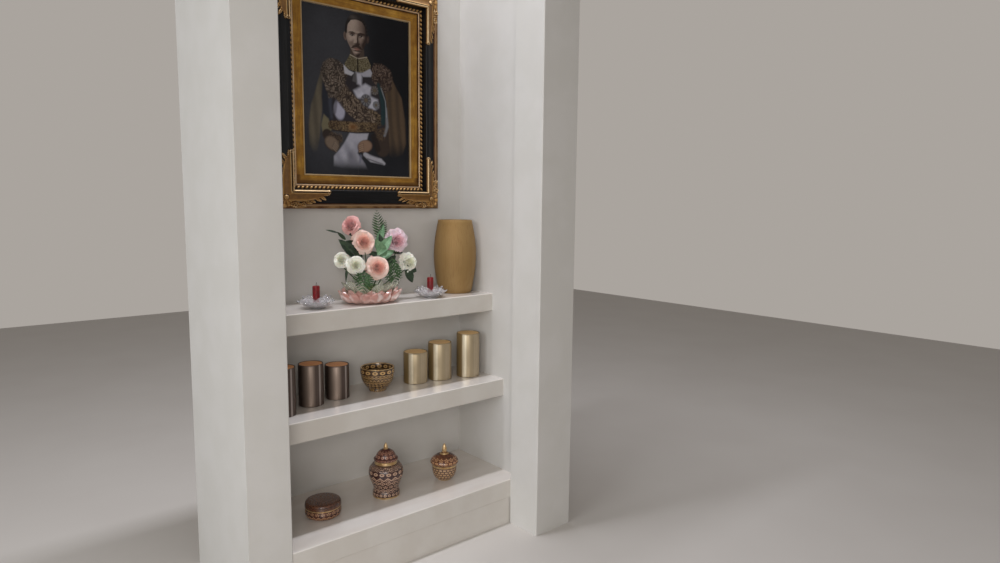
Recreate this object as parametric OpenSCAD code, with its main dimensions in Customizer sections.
// Household altar bay: a plastered wall recess with three stepped masonry shelves,
// a framed portrait over them, and the vessels, candles and silk flowers set out on the shelves.
// Millimetres. +X to the right, +Y into the wall, +Z up; origin on the floor under the middle.

/* [Bay] */
// Clear width between the two side walls
bay_w = 1110; // [1060:10:1400]
// Height of the walls
wall_h = 2600; // [2520:10:3000]
// Thickness of the two side walls
side_t = 160; // [100:5:250]
// Thickness of the back wall
back_t = 100; // [70:5:200]
// Depth from the face of the base to the face of the back wall
base_depth = 460; // [440:5:600]
// How far the right wall runs on in front of the base
reveal_run = 175; // [60:5:300]
// How much the right wall thickens in front of the base
reveal_nib = 50; // [20:2:60]
// Chamfer on the plastered corners
arris = 3; // [1:1:6]

/* [Shelves] */
// Height of the bottom shelf's top
bottom_top = 212; // [180:2:260]
// Thickness of the bottom shelf
bottom_t = 87; // [60:1:110]
// Set-back of the base under the bottom shelf
base_setback = 5; // [2:1:15]
// Height of the middle shelf's top
middle_top = 658; // [640:2:700]
// Thickness of the middle shelf
middle_t = 83; // [60:1:100]
// Depth of the middle shelf
middle_depth = 345; // [320:5:380]
// Height of the top shelf's top
top_top = 1057; // [1030:2:1120]
// Thickness of the top shelf
top_t = 84; // [60:1:100]
// Depth of the top shelf
top_depth = 260; // [252:2:300]

/* [Framed portrait] */
// Width of the picture that shows
picture_w = 515; // [420:5:560]
// Height of the picture that shows
picture_h = 690; // [600:5:705]
// How far the picture hangs left of the middle
picture_left = 13; // [0:1:60]
// Space between the top shelf and the frame
picture_clear = 398; // [395:1:420]
// Width of the outer moulding
outer_w = 82; // [70:1:95]
// Width of the inner moulding
liner_w = 62; // [56:1:76]
// Height of the outer moulding's crest off the wall
outer_rise = 68; // [62:1:76]
// Height of the gilt outer edge off the wall
edge_rise = 53; // [48:1:58]
// Width of the gilt outer edge
edge_w = 20; // [10:1:22]
// Height of the inner moulding's sight edge off the wall
sight_rise = 30; // [28:1:34]
// Thickness of the picture board
board_t = 4; // [3:0.5:6]
// How far the picture board reaches under the inner moulding
board_lap = 8; // [5:1:12]
// Length of each leg of the corner ornaments
ornament_leg = 230; // [180:5:250]
// Thickness of the corner ornaments
ornament_t = 11; // [6:1:12]

/* [Gold vase] */
// Diameter of the vase at its middle
vase_d = 202; // [150:2:204]
// Diameter of its foot
vase_foot_d = 158; // [110:2:160]
// Diameter of its rim
vase_rim_d = 160; // [120:2:164]
// Height of the vase
vase_h = 345; // [280:5:380]
// Thickness of its wall
vase_wall = 6; // [4:0.5:9]
// Space between the vase and the back wall
vase_clear = 4; // [4:1:14]
// Space between the vase and the right wall
vase_side_clear = 6; // [6:1:60]

/* [Canisters] */
// Diameter of the bronze canisters
bronze_d = 101; // [80:1:104]
// Diameter of the gold canisters
gold_d = 110; // [90:1:112]
// Heights of the bronze canisters with their lids, from the left
bronze_h = [190, 172, 144];
// Heights of the gold canisters with their lids, from the left
gold_h = [144, 175, 209];
// Distances of the bronze canisters' middles from the left wall
bronze_runs = [80, 227, 358];
// Distances of the bronze canisters' middles from the back wall
bronze_insets = [217, 158, 131];
// Distances of the gold canisters' middles from the right wall
gold_runs = [353, 228, 89];
// Distances of the gold canisters' middles from the back wall
gold_insets = [130, 148, 186];
// Thickness of the canisters' walls
canister_wall = 3; // [2:0.5:4]
// Thickness of the lids where they show
lid_t = 4; // [3:0.5:6]
// Depth of each lid's plug inside the canister
plug_t = 10; // [6:1:14]

/* [Patterned vessels] */
// Diameter of the open bowl
bowl_d = 148; // [130:1:160]
// Height of the open bowl
bowl_h = 106; // [90:1:120]
// Distance of the open bowl's middle left of the bay's middle
bowl_left = 6; // [-20:1:20]
// Distance of the open bowl's middle from the back wall
bowl_inset = 140; // [90:1:220]
// Diameter of the round box
box_d = 146; // [130:1:160]
// Height of the round box with its lid
box_h = 66; // [58:1:76]
// Distance of the round box's middle from the left wall
box_run = 230; // [90:1:300]
// Distance of the round box's middle from the back wall
box_inset = 237; // [90:1:300]
// Diameter of the temple jar
jar_d = 150; // [130:1:160]
// Height of the temple jar with its lid
jar_h = 236; // [210:1:250]
// Distance of the temple jar's middle left of the bay's middle
jar_left = 25; // [0:1:60]
// Distance of the temple jar's middle from the back wall
jar_inset = 235; // [90:1:300]
// Diameter of the small urn's lid
urn_d = 130; // [116:1:140]
// Height of the small urn with its lid
urn_h = 168; // [150:1:180]
// Distance of the small urn's middle from the right wall
urn_run = 279; // [90:1:320]
// Distance of the small urn's middle from the back wall
urn_inset = 254; // [90:1:300]
// Thickness of the vessels' walls
pot_wall = 5; // [4:0.5:6]

/* [Candles and flowers] */
// Diameter of the lotus dishes over their petals
dish_d = 148; // [130:1:156]
// Height of the lotus dishes
dish_h = 52; // [40:1:60]
// Distances of the dishes' middles from the wall beside them, left and right
dish_runs = [254, 308];
// Distances of the dishes' middles from the back wall, left and right
dish_insets = [168, 186];
// Diameter of the candles
candle_d = 29; // [22:1:32]
// Height of the candles
candle_h = 80; // [60:1:110]
// Depth of the flower bowl over its petals
flower_bowl_d = 208; // [190:2:212]
// Width of the flower bowl as a share of its depth
flower_stretch = 1.2; // [1:0.05:1.3]
// Height of the flower bowl
flower_bowl_h = 58; // [50:1:70]
// Depth of the petalled cup inside the flower bowl
flower_cup_d = 176; // [160:2:184]
// Height of that cup
flower_cup_h = 74; // [66:1:84]
// Distance of the flower bowl's middle left of the bay's middle
flowers_left = 43; // [0:1:80]
// Distance of the flower bowl's middle from the back wall
flowers_inset = 154; // [132:1:156]
// Height of the highest flower over the shelf
bouquet_h = 331; // [300:1:340]
// Radius of the flower heads
bloom_r = 40; // [34:1:42]

/* [Hidden] */

// Gap left between pieces that rest on or fit in each other
seat = 0.3;
// Small rounding on turned edges
ease = 1.5;
// Smoothness of the turned pieces
$fn = 64;

half_w = bay_w / 2;
total_y = reveal_run + base_depth + back_t;
nib_y = -total_y / 2;
base_y = nib_y + reveal_run;
wall_y = base_y + base_depth;
back_y = wall_y + back_t;
middle_y = wall_y - middle_depth;
top_y = wall_y - top_depth;

// Framed portrait: its sight opening, and the outline of each moulding from outside in
pic_x = -picture_left;
moulding_w = outer_w + liner_w;
frame_low = top_top + picture_clear;
sight_low = frame_low + moulding_w;
sight_mid = sight_low + picture_h / 2;
board_rise = sight_rise - 8;

// A plastered block with its front top and bottom edges eased
module slab(width, front, rear, low, high) {
    translate([-width / 2, 0, 0])
        rotate([90, 0, 90])
            linear_extrude(width)
                polygon([
                    [front + arris, low],
                    [rear, low],
                    [rear, high],
                    [front + arris, high],
                    [front, high - arris],
                    [front, low + arris]
                ]);
}

// The walls

module back_wall() {
    color("whitesmoke")
        translate([-half_w - side_t, wall_y, 0])
            cube([bay_w + 2 * side_t, back_t, wall_h]);
}

module left_side_wall() {
    color("whitesmoke")
        linear_extrude(wall_h)
            polygon([
                [-half_w - side_t, base_y],
                [-half_w - arris, base_y],
                [-half_w, base_y + arris],
                [-half_w, wall_y],
                [-half_w - side_t, wall_y]
            ]);
}

module right_side_wall() {
    color("whitesmoke")
        linear_extrude(wall_h)
            polygon([
                [half_w + side_t, wall_y],
                [half_w, wall_y],
                [half_w, base_y],
                [half_w - reveal_nib, base_y],
                [half_w - reveal_nib, nib_y + arris],
                [half_w - reveal_nib + arris, nib_y],
                [half_w + side_t, nib_y]
            ]);
}

// The base and the shelves

module base_block() {
    color("white")
        translate([-half_w, base_y + base_setback, 0])
            cube([bay_w, base_depth - base_setback, bottom_top - bottom_t]);
}

module bottom_shelf() {
    color("white") slab(bay_w, base_y, wall_y, bottom_top - bottom_t, bottom_top);
}

module middle_shelf() {
    color("white") slab(bay_w, middle_y, wall_y, middle_top - middle_t, middle_top);
}

module top_shelf() {
    color("white") slab(bay_w, top_y, wall_y, top_top - top_t, top_top);
}

// The frame: two nested mouldings, mitred at the corners

// The outer moulding's crest stands over the inner moulding and falls away to the gilt edge
edge_r = 5;
edge_low = edge_rise - edge_r;
crest_w = 6;
crest_in = outer_w - 7;
crest_out = crest_in - crest_w;
bead_r = 6;
bead_rise = sight_rise + 9;

// Outer moulding's section: [distance in from the outer edge, rise off the wall]
function outer_section() = [
    [0, 0],
    [outer_w, 0],
    [outer_w, bead_rise],
    [crest_in + 3, outer_rise - 3],
    [crest_in, outer_rise],
    [crest_out, outer_rise],
    [edge_w + 3, edge_low - 1],
    [edge_w, edge_low],
    for (a = [0 : 30 : 180])
        [
            edge_w / 2 + edge_w / 2 * cos(a),
            edge_low + edge_r * sin(a)
        ],
    [0, edge_low - 6]
];

// Inner moulding's section: a bead, a fillet, a groove and a shallow cove to the sight edge
fillet_w = 7;
groove_w = 3;
fillet_in = outer_w + 2 * bead_r + fillet_w;
cove_w = moulding_w - 7 - fillet_in - groove_w;
cove_rise = 4;
function liner_section() = [
    [outer_w, board_rise - board_t - 8],
    [moulding_w - board_lap - 2, board_rise - board_t - 8],
    [moulding_w - board_lap - 2, board_rise],
    [moulding_w, board_rise],
    [moulding_w, sight_rise],
    [moulding_w - 4, sight_rise + 2],
    for (t = [0 : 0.25 : 1])
        [
            moulding_w - 7 - t * cove_w,
            sight_rise + cove_rise * t * t
        ],
    [fillet_in + groove_w, sight_rise + 1],
    [fillet_in, sight_rise + 1],
    [fillet_in, bead_rise],
    for (a = [0 : 45 : 180])
        [
            outer_w + bead_r + bead_r * cos(a),
            bead_rise + bead_r * sin(a)
        ]
];

// One mitred length of a moulding, lying along the bottom of the frame:
// length is measured at the outer edge, and x runs along it from its middle
module mitred_length(section, length) {
    reach = length / 2;
    intersection() {
        translate([-reach, 0, 0])
            rotate([90, 0, 90])
                linear_extrude(length)
                    polygon([for (p = section) [-p[1], p[0]]]);
        translate([0, 1, 0])
            rotate([90, 0, 0])
                linear_extrude(outer_rise + 20)
                    polygon([
                        [-reach, 0],
                        [reach, 0],
                        [reach - moulding_w, moulding_w],
                        [-reach + moulding_w, moulding_w]
                    ]);
    }
}

// Turns a bottom length about the picture's middle onto one of the four sides
module frame_side(turn, section) {
    across = turn % 180 == 0 ? picture_w : picture_h;
    along = turn % 180 == 0 ? picture_h : picture_w;
    translate([pic_x, wall_y, sight_mid])
        rotate([0, turn, 0])
            translate([0, 0, -along / 2 - moulding_w])
                mitred_length(section, across + 2 * moulding_w);
}

module frame_bottom_rail() {
    color("dimgray") frame_side(0, outer_section());
}

module frame_left_rail() {
    color("dimgray") frame_side(90, outer_section());
}

module frame_top_rail() {
    color("dimgray") frame_side(180, outer_section());
}

module frame_right_rail() {
    color("dimgray") frame_side(270, outer_section());
}

module liner_bottom_rail() {
    color("goldenrod") frame_side(0, liner_section());
}

module liner_left_rail() {
    color("goldenrod") frame_side(90, liner_section());
}

module liner_top_rail() {
    color("goldenrod") frame_side(180, liner_section());
}

module liner_right_rail() {
    color("goldenrod") frame_side(270, liner_section());
}

// Corner ornament: an L with straight inner edges, whose legs end in scalloped leaves,
// and a rosette at the mitre. It lies on the sloping panel between the gilt edge and the crest.
panel_low = edge_w + 3;
panel_high = crest_in;
leg_mid = (panel_low + panel_high) / 2;
leg_short = 0.62 * ornament_leg;
leaf_r = [13, 12, 10, 8];
ridge_w = 5;

module ornament_outline() {
    polygon([
        [panel_low, panel_low],
        [leg_short, panel_low],
        [ornament_leg - 2 * ridge_w, panel_high - ridge_w],
        [ornament_leg, panel_high - ridge_w],
        [ornament_leg, panel_high],
        [panel_high, panel_high],
        [panel_high, ornament_leg],
        [panel_high - ridge_w, ornament_leg],
        [panel_high - ridge_w, ornament_leg - 2 * ridge_w],
        [panel_low, leg_short]
    ]);
    for (swap = [false, true])
        for (i = [0 : len(leaf_r) - 1]) {
            r = leaf_r[i];
            share = i / (len(leaf_r) - 1);
            run = leg_short + share * (ornament_leg - leg_short - 2 * ridge_w) - r / 2;
            up = panel_low + r + share * (panel_high - panel_low - 2 * r);
            translate(swap ? [up, run] : [run, up])
                circle(r);
        }
}

module ornament_rosette() {
    petal_r = (panel_high - panel_low) / 5.6;
    for (i = [0 : 4])
        translate([
            leg_mid + 1.5 * petal_r * cos(i * 72 + 45),
            leg_mid + 1.5 * petal_r * sin(i * 72 + 45)
        ])
            circle(petal_r);
    translate([leg_mid, leg_mid])
        circle(petal_r);
}

// A layer that follows the panel's slope, over the leg along the bottom as far as the mitre.
// Here x runs along the bottom and y up the side from the frame's corner, z off the wall.
module sloped_layer(thick) {
    reach = ornament_leg + 2 * ridge_w;
    low = edge_low - 1 + seat;
    high = outer_rise + seat;
    intersection() {
        rotate([90, 0, 90])
            linear_extrude(reach)
                polygon([
                    [panel_low, low],
                    [crest_out, high],
                    [crest_in, high],
                    [crest_in, high + thick],
                    [crest_out, high + thick],
                    [panel_low, low + thick]
                ]);
        linear_extrude(2 * outer_rise)
            polygon([[0, 0], [reach, 0], [reach, reach]]);
    }
}

// Both legs of a layer, cut to an outline
module carved_layer(thick) {
    intersection() {
        union() {
            sloped_layer(thick);
            mirror([1, -1, 0]) sloped_layer(thick);
        }
        linear_extrude(2 * outer_rise)
            children();
    }
}

// flip_x and flip_z are 1 or -1 and send the corner outwards from the picture's middle
module corner_ornament(flip_x, flip_z) {
    corner_x = picture_w / 2 + moulding_w;
    corner_z = picture_h / 2 + moulding_w;
    color("gold")
        translate([pic_x, wall_y, sight_mid])
            rotate([90, 0, 0])
                mirror([flip_x > 0 ? 1 : 0, 0, 0])
                    mirror([0, flip_z > 0 ? 1 : 0, 0])
                        translate([-corner_x, -corner_z, 0]) {
                            carved_layer(0.65 * ornament_t)
                                ornament_outline();
                            carved_layer(ornament_t)
                                ornament_rosette();
                        }
}

module bottom_left_ornament() {
    corner_ornament(-1, -1);
}

module bottom_right_ornament() {
    corner_ornament(1, -1);
}

module top_left_ornament() {
    corner_ornament(-1, 1);
}

module top_right_ornament() {
    corner_ornament(1, 1);
}

module portrait_board() {
    board_w = picture_w + 2 * board_lap;
    board_h = picture_h + 2 * board_lap;
    color("darkslategray")
        translate([pic_x - board_w / 2, wall_y - board_rise + seat, sight_mid - board_h / 2])
            cube([board_w, board_t, board_h]);
}

// Turned vessels

// Turns the outline points [radius, height] about the vessel's own axis at a place on a shelf
module turned(place, points) {
    translate(place)
        rotate_extrude()
            polygon(points);
}

// Where the vase stands: clear of the right wall and the back wall
vase_place = [
    half_w - vase_side_clear - vase_d / 2,
    wall_y - vase_clear - vase_d / 2,
    top_top + seat
];

// Radius of the vase's swelling side at height z, an arc through foot, middle and rim
function vase_r(z) =
    let (t = z / vase_h, end = vase_foot_d + (vase_rim_d - vase_foot_d) * t)
        end / 2 + (vase_d - end) / 2 * sin(180 * pow(t, 1.05));

vase_steps = 12;

module gold_vase() {
    side = [for (i = [0 : vase_steps]) let (z = vase_h * i / vase_steps) [vase_r(z), z]];
    inside = [
        for (i = [vase_steps : -1 : 1])
            let (z = vase_h * i / vase_steps) [vase_r(z) - vase_wall, z]
    ];
    color("darkgoldenrod")
        turned(vase_place, concat(
            [[0, 0]],
            side,
            inside,
            [[vase_r(vase_wall * 2) - vase_wall, vase_wall * 2], [0, vase_wall * 2]]
        ));
}

// Canisters: thin straight cups with flat plug lids
module canister(place, d, h) {
    body_h = h - lid_t - seat;
    turned(place, [
        [0, 0],
        [d / 2 - ease, 0],
        [d / 2, ease],
        [d / 2, body_h],
        [d / 2 - canister_wall, body_h],
        [d / 2 - canister_wall, canister_wall],
        [0, canister_wall]
    ]);
}

module canister_lid(place, d, h) {
    body_h = h - lid_t - seat;
    plug_d = d - 2 * canister_wall - 2 * seat;
    turned(place, [
        [0, body_h - plug_t],
        [plug_d / 2, body_h - plug_t],
        [plug_d / 2, body_h + seat],
        [d / 2, body_h + seat],
        [d / 2, h - ease],
        [d / 2 - ease, h],
        [0, h]
    ]);
}

function bronze_place(i) = [-half_w + bronze_runs[i], wall_y - bronze_insets[i], middle_top + seat];
function gold_place(i) = [half_w - gold_runs[i], wall_y - gold_insets[i], middle_top + seat];

module bronze_canister_1() {
    color("saddlebrown") canister(bronze_place(0), bronze_d, bronze_h[0]);
}

module bronze_canister_2() {
    color("saddlebrown") canister(bronze_place(1), bronze_d, bronze_h[1]);
}

module bronze_canister_3() {
    color("saddlebrown") canister(bronze_place(2), bronze_d, bronze_h[2]);
}

module gold_canister_1() {
    color("tan") canister(gold_place(0), gold_d, gold_h[0]);
}

module gold_canister_2() {
    color("tan") canister(gold_place(1), gold_d, gold_h[1]);
}

module gold_canister_3() {
    color("tan") canister(gold_place(2), gold_d, gold_h[2]);
}

module bronze_lids() {
    color("peru")
        for (i = [0 : 2])
            canister_lid(bronze_place(i), bronze_d, bronze_h[i]);
}

module gold_lids() {
    color("peru")
        for (i = [0 : 2])
            canister_lid(gold_place(i), gold_d, gold_h[i]);
}

// Patterned vessels. A lid's lip reaches into its vessel
lip_t = 4;
lip_h = 5;

// Each outline is [share of the radius, share of the height]
function scaled(shares, r, h) = [for (p = shares) [p[0] * r, p[1] * h]];

bowl_place = [-bowl_left, wall_y - bowl_inset, middle_top + seat];

module patterned_bowl() {
    r = bowl_d / 2;
    outside = scaled([
        [0, 0], [0.50, 0], [0.52, 0.05], [0.50, 0.10], [0.74, 0.24], [0.89, 0.42],
        [0.96, 0.62], [0.96, 0.72], [1.00, 0.74], [1.00, 0.97], [0.98, 1.00]
    ], r, bowl_h);
    inside = [
        [0.98 * r - pot_wall, bowl_h],
        [0.96 * r - pot_wall, 0.62 * bowl_h],
        [0.89 * r - pot_wall, 0.42 * bowl_h],
        [0.70 * r - pot_wall, 0.24 * bowl_h + pot_wall],
        [0.40 * r, 0.13 * bowl_h + pot_wall],
        [0, 0.10 * bowl_h + pot_wall]
    ];
    color("sienna") turned(bowl_place, concat(outside, inside));
}

box_place = [-half_w + box_run, wall_y - box_inset, bottom_top + seat];
box_split = 0.60 * box_h;

module round_box() {
    r = box_d / 2;
    color("sienna")
        turned(box_place, [
            [0, 0],
            [0.86 * r, 0],
            [0.97 * r, 0.12 * box_h],
            [r, 0.30 * box_h],
            [0.97 * r, box_split - 2 * ease],
            [0.95 * r, box_split],
            [0.95 * r - pot_wall, box_split],
            [0.95 * r - pot_wall, 0.30 * box_h],
            [0.86 * r - pot_wall, pot_wall],
            [0, pot_wall]
        ]);
}

module round_box_lid() {
    r = box_d / 2;
    low = box_split + seat;
    color("saddlebrown")
        turned(box_place, [
            [0, 0.97 * box_h - pot_wall],
            [0.80 * r, 0.92 * box_h - pot_wall],
            [0.95 * r - pot_wall - lip_t, low],
            [0.95 * r - pot_wall - lip_t, low - lip_h],
            [0.95 * r - pot_wall - seat, low - lip_h],
            [0.95 * r - pot_wall - seat, low],
            [r, low],
            [r, low + 0.14 * box_h],
            [0.93 * r, 0.92 * box_h],
            [0.80 * r, 0.97 * box_h],
            [0, box_h]
        ]);
}

jar_place = [-jar_left, wall_y - jar_inset, bottom_top + seat];
jar_split = 0.665 * jar_h;
jar_neck = 0.60;

module temple_jar() {
    r = jar_d / 2;
    color("sienna")
        turned(jar_place, [
            [0, 0],
            [0.76 * r, 0],
            [0.78 * r, 0.02 * jar_h],
            [0.78 * r, 0.09 * jar_h],
            [0.73 * r, 0.13 * jar_h],
            [0.74 * r, 0.18 * jar_h],
            [0.86 * r, 0.28 * jar_h],
            [0.97 * r, 0.38 * jar_h],
            [r, 0.46 * jar_h],
            [0.95 * r, 0.54 * jar_h],
            [0.80 * r, 0.60 * jar_h],
            [jar_neck * r, 0.63 * jar_h],
            [jar_neck * r, jar_split],
            [jar_neck * r - pot_wall, jar_split],
            [jar_neck * r - pot_wall, 0.62 * jar_h],
            [0.78 * r - pot_wall, 0.585 * jar_h],
            [0.93 * r - pot_wall, 0.53 * jar_h],
            [0.96 * r - pot_wall, 0.46 * jar_h],
            [0.93 * r - pot_wall, 0.38 * jar_h],
            [0.82 * r - pot_wall, 0.28 * jar_h],
            [0.70 * r - pot_wall, 0.18 * jar_h],
            [0.64 * r - pot_wall, 0.06 * jar_h],
            [0, 0.05 * jar_h]
        ]);
}

module temple_jar_lid() {
    r = jar_d / 2;
    low = jar_split + seat;
    color("saddlebrown")
        turned(jar_place, [
            [0, 0.80 * jar_h],
            [0.26 * r, 0.79 * jar_h],
            [jar_neck * r - pot_wall - lip_t, low],
            [jar_neck * r - pot_wall - lip_t, low - lip_h],
            [jar_neck * r - pot_wall - seat, low - lip_h],
            [jar_neck * r - pot_wall - seat, low],
            [0.68 * r, low],
            [0.70 * r, low + 0.03 * jar_h],
            [0.62 * r, low + 0.06 * jar_h],
            [0.56 * r, low + 0.09 * jar_h],
            [0.50 * r, 0.80 * jar_h],
            [0.34 * r, 0.85 * jar_h],
            [0.16 * r, 0.875 * jar_h],
            [0.11 * r, 0.89 * jar_h],
            [0.16 * r, 0.92 * jar_h],
            [0.12 * r, 0.96 * jar_h],
            [0.02 * r, jar_h],
            [0, jar_h]
        ]);
}

urn_place = [half_w - urn_run, wall_y - urn_inset, bottom_top + seat];
urn_split = 0.37 * urn_h;

module small_urn() {
    r = urn_d / 2;
    color("sienna")
        turned(urn_place, [
            [0, 0],
            [0.50 * r, 0],
            [0.52 * r, 0.02 * urn_h],
            [0.68 * r, 0.07 * urn_h],
            [0.79 * r, 0.15 * urn_h],
            [0.85 * r, 0.25 * urn_h],
            [0.87 * r, urn_split],
            [0.87 * r - pot_wall, urn_split],
            [0.85 * r - pot_wall, 0.25 * urn_h],
            [0.77 * r - pot_wall, 0.15 * urn_h],
            [0.60 * r - pot_wall, 0.08 * urn_h],
            [0, 0.06 * urn_h]
        ]);
}

module small_urn_lid() {
    r = urn_d / 2;
    low = urn_split + seat;
    color("saddlebrown")
        turned(urn_place, [
            [0, 0.62 * urn_h],
            [0.34 * r, 0.59 * urn_h],
            [0.72 * r, 0.48 * urn_h],
            [0.87 * r - pot_wall - lip_t, low],
            [0.87 * r - pot_wall - lip_t, low - lip_h],
            [0.87 * r - pot_wall - seat, low - lip_h],
            [0.87 * r - pot_wall - seat, low],
            [0.88 * r, low],
            [0.93 * r, 0.44 * urn_h],
            [r, 0.49 * urn_h],
            [0.96 * r, 0.53 * urn_h],
            [0.79 * r, 0.60 * urn_h],
            [0.52 * r, 0.67 * urn_h],
            [0.28 * r, 0.715 * urn_h],
            [0.26 * r, 0.74 * urn_h],
            [0.15 * r, 0.76 * urn_h],
            [0.18 * r, 0.83 * urn_h],
            [0.12 * r, 0.91 * urn_h],
            [0.02 * r, urn_h],
            [0, urn_h]
        ]);
}

// Petalled glass: a cup whose rim rises and spreads into pointed lobes

// Height and spread of the lobes round the cup, 0 between two lobes and 1 at a tip
function lobe(a, lobes) = pow(abs(cos(a * lobes / 2)), 0.7);

lobe_sides = 6;
wall_rings = 4;

module petal_cup(place, d, h, lobes, foot_share, floor_t, wall) {
    r = d / 2;
    steps = lobes * lobe_sides;
    foot_r = foot_share * r;
    function reach(s, a) = foot_r + (r * (0.78 + 0.22 * lobe(a, lobes)) - foot_r) * pow(s, 0.8);
    function rise(s, a) = h * (0.55 + 0.45 * lobe(a, lobes)) * pow(s, 1.5);
    outside = [
        for (k = [0 : wall_rings], i = [0 : steps - 1])
            let (a = 360 * i / steps, s = k / wall_rings)
                [reach(s, a) * cos(a), reach(s, a) * sin(a), rise(s, a)]
    ];
    inside = [
        for (k = [wall_rings : -1 : 0], i = [0 : steps - 1])
            let (a = 360 * i / steps, s = k / wall_rings, q = reach(s, a) - wall)
                [q * cos(a), q * sin(a), max(floor_t, rise(s, a) + (k == wall_rings ? 0 : 1))]
    ];
    points = concat(outside, inside, [[0, 0, 0], [0, 0, floor_t]]);
    rings = 2 * wall_rings + 2;
    last = rings * steps;
    sides = [
        for (k = [0 : rings - 2], i = [0 : steps - 1])
            let (j = (i + 1) % steps)
                each [
                    [k * steps + i, (k + 1) * steps + j, k * steps + j],
                    [k * steps + i, (k + 1) * steps + i, (k + 1) * steps + j]
                ]
    ];
    under = [for (i = [0 : steps - 1]) [last, i, (i + 1) % steps]];
    top_ring = (rings - 1) * steps;
    over = [for (i = [0 : steps - 1]) [last + 1, top_ring + (i + 1) % steps, top_ring + i]];
    translate(place)
        polyhedron(points, concat(sides, under, over), convexity = 4);
}

dish_floor = 9;
dish_places = [
    [-half_w + dish_runs[0], wall_y - dish_insets[0], top_top + seat],
    [half_w - dish_runs[1], wall_y - dish_insets[1], top_top + seat]
];

module candle_dish(place) {
    petal_cup(place, dish_d, dish_h, 8, 0.42, dish_floor, 4);
}

module left_candle_dish() {
    color("aliceblue") candle_dish(dish_places[0]);
}

module right_candle_dish() {
    color("aliceblue") candle_dish(dish_places[1]);
}

// A candle with a domed top and its wick, standing on the dish's floor
wick_d = 2.4;
wick_h = 14;

module candle(place) {
    r = candle_d / 2;
    turned(place + [0, 0, dish_floor + seat], [
        [0, 0],
        [r, 0],
        [r, candle_h - ease],
        [r - ease, candle_h],
        [wick_d / 2, candle_h - ease],
        [wick_d / 2, candle_h + wick_h],
        [0, candle_h + wick_h]
    ]);
}

module left_candle() {
    color("firebrick") candle(dish_places[0]);
}

module right_candle() {
    color("firebrick") candle(dish_places[1]);
}

// The flowers: a petalled glass bowl with a taller petalled cup in it, stems rising from
// the cup's filling, and the heads on them
flower_place = [-flowers_left, wall_y - flowers_inset, top_top + seat];
flower_floor = 10;
cup_floor = 6;
cup_low = flower_floor + seat;

module flower_bowl() {
    color("lightpink")
        translate(flower_place)
            scale([flower_stretch, 1, 1])
                petal_cup([0, 0, 0], flower_bowl_d, flower_bowl_h, 10, 0.55, flower_floor, 5);
}

module flower_cup() {
    color("honeydew")
        translate(flower_place + [0, 0, cup_low])
            scale([flower_stretch, 1, 1])
                petal_cup([0, 0, 0], flower_cup_d, flower_cup_h, 8, 0.5, cup_floor, 4);
}

// Flower heads: x, y and height over the shelf in shares of bouquet_h, then the share of bloom_r
pink_heads = [
    [-0.224, 0.088, 1.000, 1.00],
    [-0.114, -0.060, 0.795, 1.18],
    [0.429, 0.000, 0.776, 1.08],
    [0.008, -0.181, 0.465, 1.15]
];
white_heads = [
    [-0.385, 0.050, 0.566, 0.86],
    [-0.300, -0.160, 0.507, 0.86],
    [0.543, -0.060, 0.502, 0.92]
];

function head_place(p) = [p[0] * bouquet_h, p[1] * bouquet_h, p[2] * bouquet_h];

module flower_heads(heads) {
    for (p = heads)
        translate(flower_place + head_place(p))
            scale(p[3])
                rotate_extrude()
                    polygon([
                        [0, -0.72 * bloom_r],
                        [0.30 * bloom_r, -0.70 * bloom_r],
                        [0.78 * bloom_r, -0.40 * bloom_r],
                        [bloom_r, 0.05 * bloom_r],
                        [0.92 * bloom_r, 0.45 * bloom_r],
                        [0.60 * bloom_r, 0.72 * bloom_r],
                        [0, 0.80 * bloom_r]
                    ]);
}

module pink_roses() {
    color("pink") flower_heads(pink_heads);
}

module white_roses() {
    color("ivory") flower_heads(white_heads);
}

stem_r = 2.2;
core_r = 34;
core_h = 56;
core_low = cup_low + cup_floor + seat;
stem_root = core_low + core_h - 20;
stem_spread = 0.16;

// A straight stem from one point to another
module stem(from, to, r) {
    run = to - from;
    flat = norm([run[0], run[1]]);
    translate(from)
        rotate([0, atan2(flat, run[2]), atan2(run[1], run[0])])
            cylinder(h = norm(run), r = r, $fn = 8);
}

module flower_stems() {
    color("darkgreen")
        translate(flower_place) {
            translate([0, 0, core_low])
                rotate([0, 0, 90])
                    cylinder(h = core_h, r = core_r);
            for (p = concat(pink_heads, white_heads)) {
                head = head_place(p);
                stem(
                    [head[0] * stem_spread, head[1] * stem_spread, stem_root],
                    [head[0], head[1], head[2] - 0.72 * bloom_r * p[3] - seat],
                    stem_r
                );
            }
        }
}

back_wall();
left_side_wall();
right_side_wall();
base_block();
bottom_shelf();
middle_shelf();
top_shelf();
frame_top_rail();
frame_bottom_rail();
frame_left_rail();
frame_right_rail();
liner_top_rail();
liner_bottom_rail();
liner_left_rail();
liner_right_rail();
top_left_ornament();
top_right_ornament();
bottom_left_ornament();
bottom_right_ornament();
portrait_board();
gold_vase();
flower_bowl();
flower_cup();
flower_stems();
pink_roses();
white_roses();
left_candle_dish();
right_candle_dish();
left_candle();
right_candle();
bronze_canister_1();
bronze_canister_2();
bronze_canister_3();
gold_canister_1();
gold_canister_2();
gold_canister_3();
bronze_lids();
gold_lids();
patterned_bowl();
round_box();
round_box_lid();
temple_jar();
temple_jar_lid();
small_urn();
small_urn_lid();
